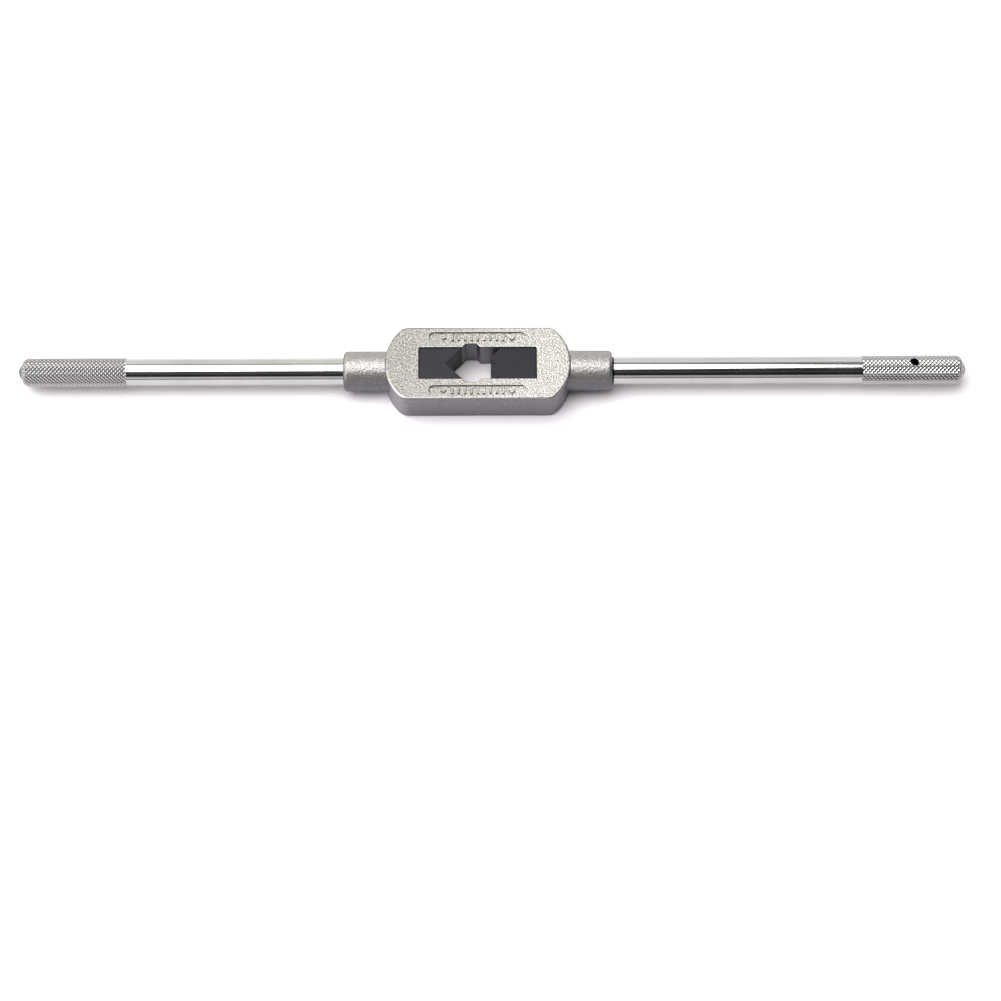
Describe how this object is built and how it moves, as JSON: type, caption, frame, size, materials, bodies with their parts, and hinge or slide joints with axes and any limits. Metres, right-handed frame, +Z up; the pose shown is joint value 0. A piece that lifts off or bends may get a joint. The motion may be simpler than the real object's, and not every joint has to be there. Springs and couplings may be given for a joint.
{
  "type": "adjustable tap wrench",
  "caption": "Adjustable bar tap wrench: cast body with a window, fixed V jaw, screw-driven sliding jaw and knurled handles.",
  "frame": {"origin": "centre of the body's window in the plane of its flat underside, which rests on the bench", "axes": "+X along the handles towards the adjusting handle, +Y across the body, +Z up out of the marked face"},
  "size_m": [0.48, 0.0406, 0.022],
  "materials": {
    "zinc_casting": "tumbled zinc die casting, light silver grey",
    "blued_steel": "hardened and blackened steel",
    "bright_steel": "bright plated steel, diamond-knurled at the grips",
    "pin_steel": "ground steel"
  },
  "bodies": {
    "wrench_body": {"body_casting": "zinc_casting", "fixed_jaw": "blued_steel", "fixed_handle": "bright_steel"},
    "sliding_jaw": {"moving_jaw": "blued_steel", "keeper_pin_far": "pin_steel", "keeper_pin_near": "pin_steel"},
    "spindle": {"adjusting_handle": "bright_steel"}
  },
  "joints": [
    {"name": "jaw_slide", "type": "slide", "parent": "wrench_body", "child": "sliding_jaw", "axis": [-1, 0, 0], "range_m": [0, 0.016]},
    {"name": "spindle_turn", "type": "hinge", "parent": "sliding_jaw", "child": "spindle", "pos_m": [0.04, 0, 0.011], "axis": [-1, 0, 0], "range_deg": [0, 3292]}
  ],
  "couplings": [
    {"joint": "spindle_turn", "follows": "jaw_slide", "rad_per_m": 3590.4}
  ]
}
